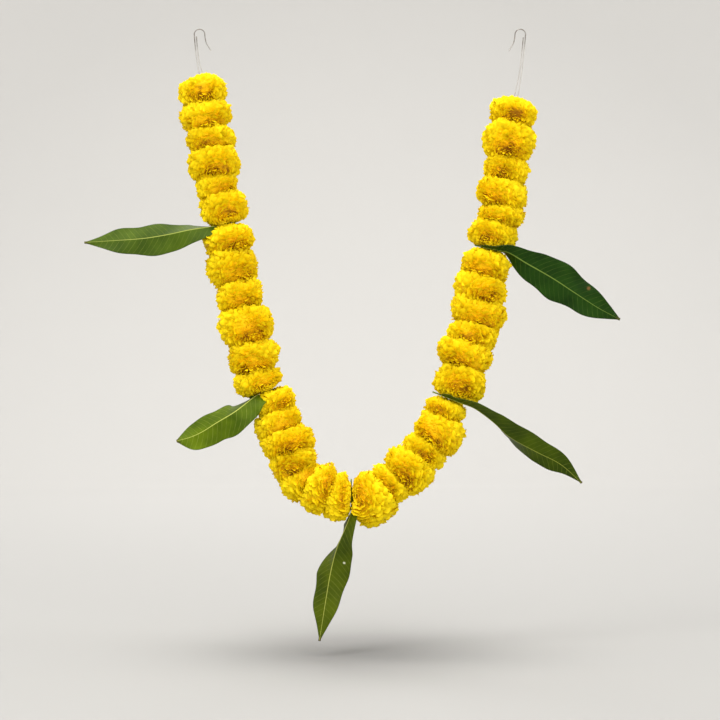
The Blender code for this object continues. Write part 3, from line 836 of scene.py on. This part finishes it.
def leafGuide(values):
    # the midrib's course, between the two heads and on outside them
    one, two = values["between"]
    start, end = heads[one][endTowards(one, two)], heads[two][endTowards(two, one)]
    outward = np.cross(depthAxis, (end - start) / np.linalg.norm(end - start))
    pierced = 0.5 * (start + end)
    inSlot = [pierced + (outward * out + depthAxis * back) * mm for out, back in values["inSlot"]]
    return inSlot + [np.array(point) * mm for point in values["rib"]]


def leafWidths(values, form, share, length, rib):
    # half widths of the back half and the front half
    swell = np.sin(math.pi * np.minimum(share, 0.995) ** form["widest"]) ** values["taper"]
    swell = swell * values["halfWidth"] * mm
    swell = swell * (1 + values["blunt"] * np.exp(-((share - form["bluntAt"]) / form["bluntSpan"]) ** 2))
    swell = swell * (1 + form["edgeWobble"] * np.sin(form["wobbleRate"] * share + values["halfWidth"]))
    swell = np.maximum(swell, form["stalk"])
    width = np.stack([swell * (1 + values["ripple"] * np.sin(rate * share + start))
                      for rate, start in form["edgeRipples"]])
    # the back half reaches the string that pierces it
    atString = np.exp(-((share * length - values["petiole"] * mm) / form["pierceSpan"]) ** 2)
    width[0] = np.maximum(width[0], (np.abs(rib[:, 1]) + form["pastString"]) * atString)
    width[1] = np.maximum(width[1], values["baseWidth"] * mm * atString)
    return width


def leafSheet(values, form, share, across, rib, ways, length):
    # the blade's middle sheet, and each place's distance from the midrib with its sign
    width = leafWidths(values, form, share, length, rib)
    side = np.cross(depthAxis, ways)
    side /= np.linalg.norm(side, axis=1)[:, None]
    depth = np.cross(ways, side)
    places, *folds = zip(*values["turns"])
    free = np.clip((share - values["petiole"] * mm / length) / form["stiffShare"] - 1.0, 0.0, 1.0)
    middle = np.zeros((len(share), len(across), 3))
    fromRib = np.zeros((len(share), len(across)))
    for column, place in enumerate(across):
        half, sign = (0, 1.0) if place > 0 else (1, -1.0)
        turned = np.radians(np.interp(share, places, folds[half]))[:, None]
        reach = abs(place) * width[half]
        direction = side * np.cos(turned) * sign + depth * np.sin(turned)
        normal = np.cross(direction, ways)
        rise = form["edgeWave"] * free * place**2
        wave = rise * np.sin(form["edgeRate"] * share + form["edgeLag"] * place)
        slant = np.sin(2 * math.pi * veinPhase(share * length, reach, form))
        quilt = form["quilting"] * free * slant * min(abs(place) * 4, 1.0) * (1 - place**4) * sign
        middle[:, column] = rib + direction * reach[:, None] + normal * (wave + quilt)[:, None]
        fromRib[:, column] = reach * sign
    return middle, fromRib


def makeLeaf(name, values, form, materials):
    rows, columns = form["rows"], form["columns"]
    rib, ways, length = evenCurve(smoothCurve(leafGuide(values), 24), rows)
    share = np.linspace(0.0, 1.0, rows)
    even = np.linspace(-1.0, 1.0, columns)
    across = np.sin(even * math.pi / 2) * form["crowding"] + even * (1 - form["crowding"])
    middle, fromRib = leafSheet(values, form, share, across, rib, ways, length)
    normals = np.cross(np.gradient(middle, axis=1), np.gradient(middle, axis=0))
    normals /= np.linalg.norm(normals, axis=2)[:, :, None]
    ribFade = np.clip(1 + form["ribEnd"] - share, form["ribEnd"], 1.0)[:, None]
    ribShape = np.exp(-(fromRib / form["ribWidth"]) ** 2) * ribFade
    thick = (form["blade"] + (form["ribThickness"] - form["blade"]) * ribShape)[:, :, None]
    sheets = [middle + normals * form["above"] * thick, middle - normals * (1 - form["above"]) * thick]
    points = np.vstack([sheet.reshape(-1, 3) for sheet in sheets])
    size = rows * columns
    faces = gridFaces(rows, columns) + gridFaces(rows, columns, size, flip=True)
    slots = [0] * (len(faces) // 2) + [1] * (len(faces) // 2)
    edge = list(range(columns))
    edge += [row * columns + columns - 1 for row in range(1, rows)]
    edge += [(rows - 1) * columns + column for column in range(columns - 2, -1, -1)]
    edge += [row * columns for row in range(rows - 2, 0, -1)]
    for a, b in zip(edge, edge[1:] + edge[:1]):
        faces.append((b, a, a + size, b + size))
        slots.append(1)
    bands = {
        "leafAlong": np.repeat(share * length, columns), "leafAcross": fromRib.ravel(),
        "leafShare": np.repeat(share, columns), "leafEdge": np.tile(np.abs(across), rows),
    }
    bands = {label: np.tile(band, 2) for label, band in bands.items()}
    mesh = meshFrom("blade_" + name, points, faces, materials, bands, slots)
    shape = bmesh.new()
    shape.from_mesh(mesh)
    if shape.calc_volume(signed=True) < 0:
        bmesh.ops.reverse_faces(shape, faces=shape.faces)
    shape.to_mesh(mesh)
    shape.free()
    standFor(placeObject("blade_" + name, mesh), name)


leafPaint = {
    "veinWidth": 0.42 * mm, "veinWander": 0.35, "wanderScale": 60.0, "netScale": 700.0,
    "patchScale": 38.0,  # patches of dark and green
    "faintScale": 90.0, "veinShare": 0.36,  # the side veins fade in places
    "edgeFrom": 0.93,  # darker outside this share of the width
    "dryFrom": 0.965, "tipBrown": (0.10, 0.055, 0.025),  # dry past this share of the length
    "underRough": 0.25, "underGain": 1.5, "underLift": 0.02,  # the underside is rougher and paler
    "bump": 0.45, "bumpDepth": 0.2 * mm,
}


def leafVeinGroup(form, paint):
    tree, given, leave = shadeGroup("leafVeins", {
        "Along": ("Float", 0.0), "Across": ("Float", 0.0), "Taper": ("Float", 1.0),
        "Width": ("Float", paint["veinWidth"]),
    }, {"Midrib": "Float", "Laterals": "Float", "Height": "Float"})
    across, width, spot = given["Across"].abs(), given["Width"], objectSpot(tree)
    wander = (noiseOf(tree, spot, paint["wanderScale"]) - 0.5) * paint["veinWander"]
    phase = veinPhase(given["Along"], across, form) + wander
    saw = (phase - phase.math("FLOOR") - 0.5).abs() * form["veinSpacing"]
    laterals = (-(saw / width) + 1.0).most(0.0)
    midrib = (-(across / (width * given["Taper"] * 2.2)) + 1.0).most(0.0)
    net = made(tree, "ShaderNodeTexVoronoi", {"feature": "DISTANCE_TO_EDGE"}, Scale=paint["netScale"],
               Vector=spot)
    height = net.least(0.3) * 0.6 - laterals * 0.8 - midrib
    for label, value in (("Midrib", (midrib * 2.0).least(1.0)), ("Laterals", laterals), ("Height", height)):
        feed(tree, value, leave.inputs[label])
    return tree


def leafMaterial(name, values, paint, veins, isUnderside):
    material, tree, shader = newMaterial(
        name, Roughness=values["roughness"] + (paint["underRough"] if isUnderside else 0.0),
        Specular_IOR_Level=0.1)
    along, across, share = (attribute(tree, label) for label in ("leafAlong", "leafAcross", "leafShare"))
    group = addNode(tree, "ShaderNodeGroup", {"node_tree": veins}, Along=along, Across=across,
                    Taper=share * -1.1 + 1.25, Width=paint["veinWidth"])
    midrib, laterals, height = (outputOf(tree, group, label) for label in ("Midrib", "Laterals", "Height"))
    spot = objectSpot(tree)
    green, dark, vein = (values[key] for key in ("green", "dark", "vein"))
    if isUnderside:
        green, dark = ([min(1.0, part * paint["underGain"] + paint["underLift"]) for part in colour]
                       for colour in (green, dark))
    patches = (noiseOf(tree, spot, paint["patchScale"], 3.0) * 2.4 - 0.7).upTo(1.0)
    blade = mixColours(tree, patches, dark, green)
    faint = (noiseOf(tree, spot, paint["faintScale"]) * 1.6 - 0.3).most(0.1).least(1.0)
    blade = mixColours(tree, laterals * faint * paint["veinShare"], blade, vein)
    edge = (attribute(tree, "leafEdge") - paint["edgeFrom"]).most(0.0) * 6.0
    blade = mixColours(tree, edge, blade, dark)
    dryTip = (share - paint["dryFrom"]).most(0.0) * 20.0
    blade = mixColours(tree, dryTip.least(0.8), blade, paint["tipBrown"])
    if "blemish" in values:
        alongMm, acrossMm, radiusMm = values["blemish"]
        dx = (along - alongMm * mm) / (radiusMm * mm)
        dy = (across - acrossMm * mm) / (radiusMm * mm)
        ragged = -(dx * dx + dy * dy).root() + 1.6 + (noiseOf(tree, spot, 900.0) - 0.5)
        blade = mixColours(tree, ragged.upTo(1.0), blade, values["blemishColour"])
    whole = mixColours(tree, midrib * 0.9, blade, vein)
    feed(tree, whole, shader.inputs["Base Color"])
    addBump(tree, shader, height, paint["bump"], paint["bumpDepth"], isUnderside)
    return material


leafVeins = leafVeinGroup(leafForm, leafPaint)
for name, values in leafValues.items():
    finishes = [leafMaterial(name + ending, values, leafPaint, leafVeins, isUnderside)
                for ending, isUnderside in (("_upper", False), ("_under", True))]
    makeLeaf(name, values, leafForm, finishes)
print("leaves ready")


hookValues = {  # side: 1 where the tail points right
    "left_hook": {"crownX": 0.0, "side": 1, "head": endHeads[0]},
    "right_hook": {"crownX": 353.0 * mm, "side": -1, "head": endHeads[1]},
}
wireForm = {
    "radius": 0.57 * mm, "sides": 14, "step": 0.45 * mm, "crown": 5.8 * mm,
    "tail": ((12.3, -22.8), (9.6, -18.4), (7.4, -14.2), (6.3, -9.6)),  # from its tip, as x, z in mm
    "shank": (0.05, 0.2, 0.35, 0.5, 0.65, 0.8, 0.92),  # places on it, as shares of its length
    "bow": 0.9 * mm, "gap": 2.3 * mm, "partFrom": 0.6,  # its two wires part for the eye from this share on
    "eye": 2.2 * mm, "eyeDepth": 6.0 * mm,
    "steel": (0.38, 0.36, 0.33), "scale": (0.13, 0.11, 0.095), "paintedLight": (0.58, 0.56, 0.53),
    "paintedLightFrom": 12.0 * mm, "paintedLightOver": 14.0 * mm,  # painted light: below the crown the wire is painted paler, as lit metal, and the crown stays darker
    "metallic": 0.85, "roughness": 0.38, "grimeScale": 300.0, "bump": 0.3, "bumpDepth": 0.05 * mm,
}


def makeHook(name, values, form, material):
    sideway = np.array((values["side"], 0.0, 0.0))
    upway = np.array((0.0, 0.0, 1.0))
    eye, _ = mouthPlace(values["head"], form["eyeDepth"])

    def halfTurn(middle, radius, start, steps=16):
        turns = start + math.pi * np.arange(steps + 1) / steps
        return [middle + radius * (math.cos(turn) * sideway + math.sin(turn) * upway) for turn in turns]

    above = np.array((values["crownX"], 0.0, 0.0))
    points = [above + (x * sideway + z * upway) * mm for x, z in form["tail"]]
    points += halfTurn(above + (form["radius"] - form["crown"]) * upway, form["crown"], 0.0)
    foot = points[-1]
    carrying, returning = [], []
    for share in form["shank"]:
        place = foot * (1 - share) + (eye - form["eye"] * sideway) * share
        place = place - form["bow"] * math.sin(math.pi * share) * sideway
        parted = max(0.0, (share - form["partFrom"]) / (1 - form["partFrom"]))
        carrying.append(place)
        returning.append(place + (form["gap"] + (2 * form["eye"] - form["gap"]) * parted) * sideway)
    points += carrying + halfTurn(eye, form["eye"], math.pi) + returning[::-1]
    curve = smoothCurve(points, 5)
    spots, ways, _ = evenCurve(curve, int(reachAlong(curve)[-1] / form["step"]))
    points, faces, along, _ = tubeParts(spots, ways, form["radius"], form["sides"])
    mesh = meshFrom("wire_" + name, points, faces, [material], {"wireAlong": along})
    standFor(placeObject("wire_" + name, mesh), name)


def wireMaterial(form):
    material, tree, shader = newMaterial("hookWire", Metallic=form["metallic"],
                                         Roughness=form["roughness"])
    spot = objectSpot(tree)
    height = splitOf(tree, spot)[2]
    # painted light: the wire turns paler below the crown
    down = ((-height - form["paintedLightFrom"]) / form["paintedLightOver"]).upTo(1.0)
    grime = (noiseOf(tree, spot, form["grimeScale"]) * 2.2 - 0.6).upTo(1.0)
    bare = mixColours(tree, down, form["steel"], form["paintedLight"])
    dirty = mixColours(tree, grime * (-down * 0.75 + 1.0), bare, form["scale"])
    feed(tree, dirty, shader.inputs["Base Color"])
    drawn = noiseOf(tree, vectorOf(tree, attribute(tree, "wireAlong") * 300.0, height * 60.0, 0.0), 6.0)
    addBump(tree, shader, drawn, form["bump"], form["bumpDepth"])
    return material


wireFinish = wireMaterial(wireForm)
for name, values in hookValues.items():
    makeHook(name, values, wireForm, wireFinish)
print("hooks ready")


studio = {
    "floorHeight": -0.690, "floorRadius": 3.4, "bend": 1.6, "bendSteps": 12, "wallHeight": 4.5, "sides": 64,
    "wallPaint": (0.757, 0.749, 0.734), "floorPaint": (0.405, 0.401, 0.392),
    "paintFrom": -0.5,  # from here to the back the floor's paint turns into the wall's
    "paintRing": 2.8,  # and outside this radius all round
    "paintedShade": 0.42, "paintedShadowY": 0.038, "paintedShadowWidth": 0.145, "paintedShadowDepth": 0.185,  # painted shadow: a soft dark oval painted on the floor under the garland
    "paintedFalloff": 0.05, "paintedFalloffMost": 0.1, "paintedFalloffHeight": 0.2,  # painted falloff of light: the paint darkens a little away from the middle
    "sky": (1.0, 0.985, 0.96), "skyStrength": 1.06,
    "cameraSpot": (176.6 * mm, -2.5, -363.4 * mm), "lens": 113.6,
}
lightAim = (middleX, 0.0, -0.35)
lights = {  # place from between the hooks, width, watts, colour
    "keySoftbox": ((-1.4, -2.2, 2.0), 1.6, 50.0, (1.0, 0.985, 0.95)),
    "topSoftbox": ((0.0, -0.4, 3.0), 2.6, 68.0, (1.0, 0.99, 0.97)),
    "frontFill": ((0.8, -3.0, 0.7), 1.8, 40.0, (1.0, 0.99, 0.97)),
    "backFill": ((-0.4, 2.7, 2.3), 1.6, 22.0, (1.0, 0.99, 0.97)),
}


def studioMaterial(values):
    material, tree, shader = newMaterial("studioPaint", Roughness=0.95, Specular_IOR_Level=0.1)
    x, y, z = splitOf(tree, objectSpot(tree))
    start = values["paintFrom"]
    away = ((y - start) / (values["floorRadius"] - start)).most(0.0)
    away = away.most((x * x + y * y).root() - values["paintRing"]).least(1.0) ** 1.5
    # the bend and the wall take their paint by height
    away = (away * ((z / 0.9).least(1.0) * 0.13 + 0.87)).most((z / 0.35).least(1.0) * 0.9)
    paint = mixColours(tree, away, values["floorPaint"], values["wallPaint"])
    # painted shadow: the floor's paint is darkened in a soft oval under the garland
    wide, deep = x / values["paintedShadowWidth"], (y - values["paintedShadowY"]) / values["paintedShadowDepth"]
    paintedShade = (-(wide * wide + deep * deep)).math("EXPONENT") * values["paintedShade"]
    # painted falloff of light: darker away from the middle, added to the painted shadow
    above = z - values["paintedFalloffHeight"]
    paintedShade = paintedShade + (x * x * values["paintedFalloff"] + above * above * values["paintedFalloff"]).least(values["paintedFalloffMost"])
    # the painted shadow and painted falloff mix the paint towards black
    paint = mixColours(tree, paintedShade, paint, (0.0, 0.0, 0.0))
    feed(tree, paint, shader.inputs["Base Color"])
    return material


def makeStudio(values):
    # a floor that sweeps up into a round wall
    radius, bend, steps = values["floorRadius"], values["bend"], values["bendSteps"]
    turns = [0.5 * math.pi * step / steps for step in range(1, steps + 1)]
    profile = [(0.0, 0.0), (radius, 0.0)]
    profile += [(radius + bend * math.sin(turn), bend * (1 - math.cos(turn))) for turn in turns]
    profile.append((radius + bend, values["wallHeight"]))
    shape = bmesh.new()
    spots = [shape.verts.new((x, 0.0, z)) for x, z in profile]
    edges = [shape.edges.new(pair) for pair in zip(spots, spots[1:])]
    bmesh.ops.spin(shape, geom=spots + edges, cent=(0, 0, 0), axis=(0, 0, 1), angle=2 * math.pi,
                   steps=values["sides"], use_duplicate=False)
    bmesh.ops.remove_doubles(shape, verts=shape.verts, dist=1e-5)
    bmesh.ops.recalc_face_normals(shape, faces=shape.faces)
    mesh = bpy.data.meshes.new("studioSweep")
    shape.to_mesh(mesh)
    shape.free()
    mesh.shade_smooth()
    mesh.materials.append(studioMaterial(values))
    sweep = placeObject("studioSweep", mesh)
    sweep.location = (middleX, 0.0, values["floorHeight"])


def makeLight(name, place, width, watts, colour):
    light = bpy.data.lights.new(name, "AREA")
    light.shape = "DISK"
    light.size = width
    light.energy = watts
    light.color = colour
    lamp = placeObject(name, light)
    lamp.location = (middleX + place[0], *place[1:])
    lamp.rotation_euler = (Vector(lightAim) - lamp.location).to_track_quat("-Z", "Y").to_euler()


def makeSky(values):
    world = bpy.data.worlds.new("studioSky")
    world.use_nodes = True
    background = world.node_tree.nodes["Background"]
    background.inputs["Color"].default_value = (*values["sky"], 1.0)
    background.inputs["Strength"].default_value = values["skyStrength"]
    bpy.context.scene.world = world
    bpy.context.scene.view_settings.view_transform = "Standard"


def makeCamera(values):
    camera = bpy.data.cameras.new("camera")
    camera.lens = values["lens"]
    camera.clip_end = 50.0
    stand = placeObject("camera", camera)
    stand.location = values["cameraSpot"]
    stand.rotation_euler = (math.pi / 2, 0.0, 0.0)
    bpy.context.scene.camera = stand


makeStudio(studio)
for name, (place, width, watts, colour) in lights.items():
    makeLight(name, place, width, watts, colour)
makeSky(studio)
makeCamera(studio)
print("studio and camera ready")
